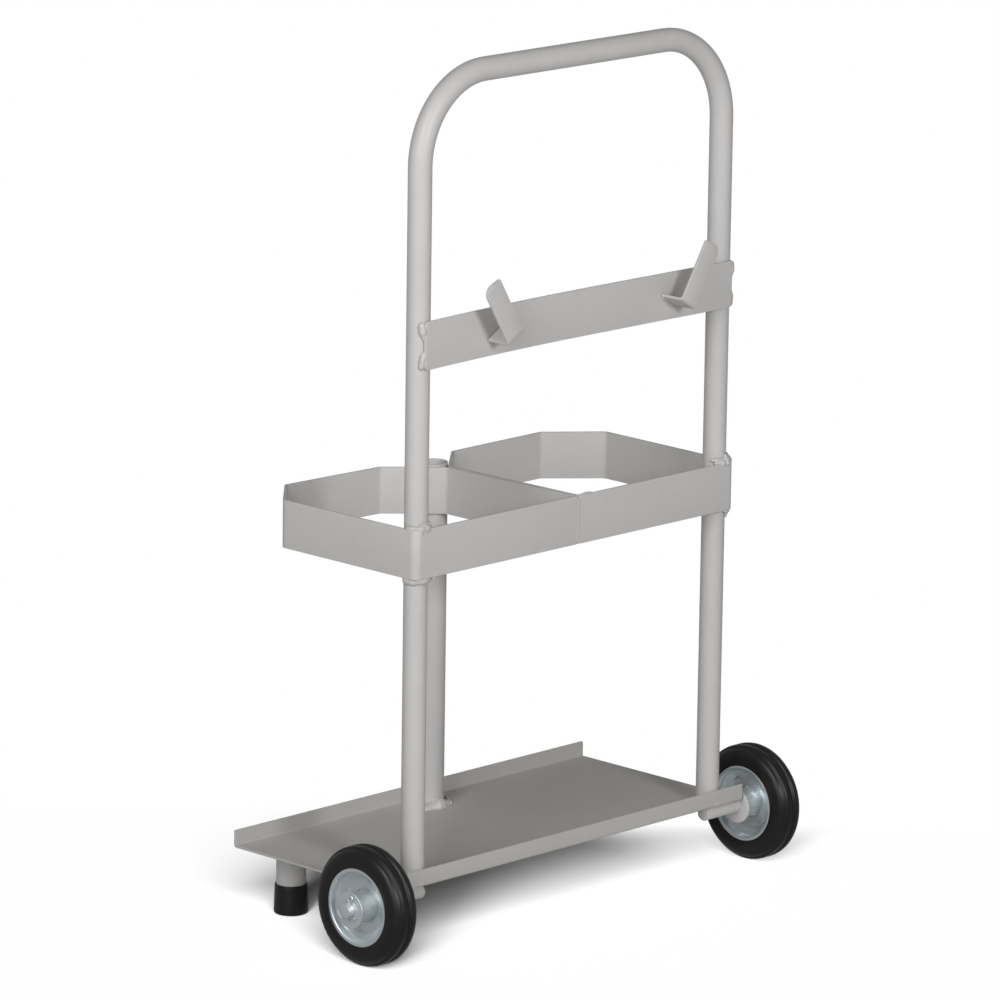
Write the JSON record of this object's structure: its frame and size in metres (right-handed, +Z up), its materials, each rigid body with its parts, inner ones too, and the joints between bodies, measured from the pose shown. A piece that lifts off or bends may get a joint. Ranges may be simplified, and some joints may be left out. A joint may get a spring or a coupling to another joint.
{
  "type": "oxy acetylene torch cart",
  "caption": "Tall, bare gas-bottle cart: bent tube handle, hose hooks on a flat bar, bottle hoops side by side, folded base tray, wheels behind and rubber feet in front.",
  "frame": {"origin": "on the floor under the middle of the cart's bounding box", "axes": "+X along the top grip and the axles, +Y towards the bottle side and away from the user, +Z up"},
  "size_m": [0.6626, 0.2976, 0.9452],
  "materials": {
    "frame_paint": "light grey powder coat, satin",
    "zinc_plate": "bright zinc plate",
    "tyre_rubber": "black solid rubber, satin",
    "cap_rubber": "black rubber, matte",
    "white_nylon": "natural nylon"
  },
  "bodies": {
    "frame": {"handle_tube": "frame_paint", "hook_bar": "frame_paint", "center_post": "frame_paint", "base_tray": "frame_paint", "left_hose_hook": "frame_paint", "left_bottle_hoop": "frame_paint", "left_foot_leg": "frame_paint", "left_foot_cap": "cap_rubber", "left_axle": "zinc_plate", "left_axle_collar": "frame_paint", "left_hub_washer": "zinc_plate", "left_split_pin": "zinc_plate", "right_hose_hook": "frame_paint", "right_bottle_hoop": "frame_paint", "right_foot_leg": "frame_paint", "right_foot_cap": "cap_rubber", "right_axle": "zinc_plate", "right_axle_collar": "frame_paint", "right_hub_washer": "zinc_plate", "right_split_pin": "zinc_plate"},
    "left_wheel": {"left_tyre": "tyre_rubber", "left_outer_disc": "zinc_plate", "left_inner_disc": "zinc_plate", "left_hub": "zinc_plate", "left_outer_bush": "white_nylon", "left_inner_bush": "white_nylon"},
    "right_wheel": {"right_tyre": "tyre_rubber", "right_outer_disc": "zinc_plate", "right_inner_disc": "zinc_plate", "right_hub": "zinc_plate", "right_outer_bush": "white_nylon", "right_inner_bush": "white_nylon"}
  },
  "joints": [
    {"name": "left_wheel_spin", "type": "hinge", "parent": "frame", "child": "left_wheel", "pos_m": [-0.2975, -0.08425, 0.0645], "axis": [1, 0, 0], "continuous": true},
    {"name": "right_wheel_spin", "type": "hinge", "parent": "frame", "child": "right_wheel", "pos_m": [0.2975, -0.08425, 0.0645], "axis": [1, 0, 0], "continuous": true}
  ]
}
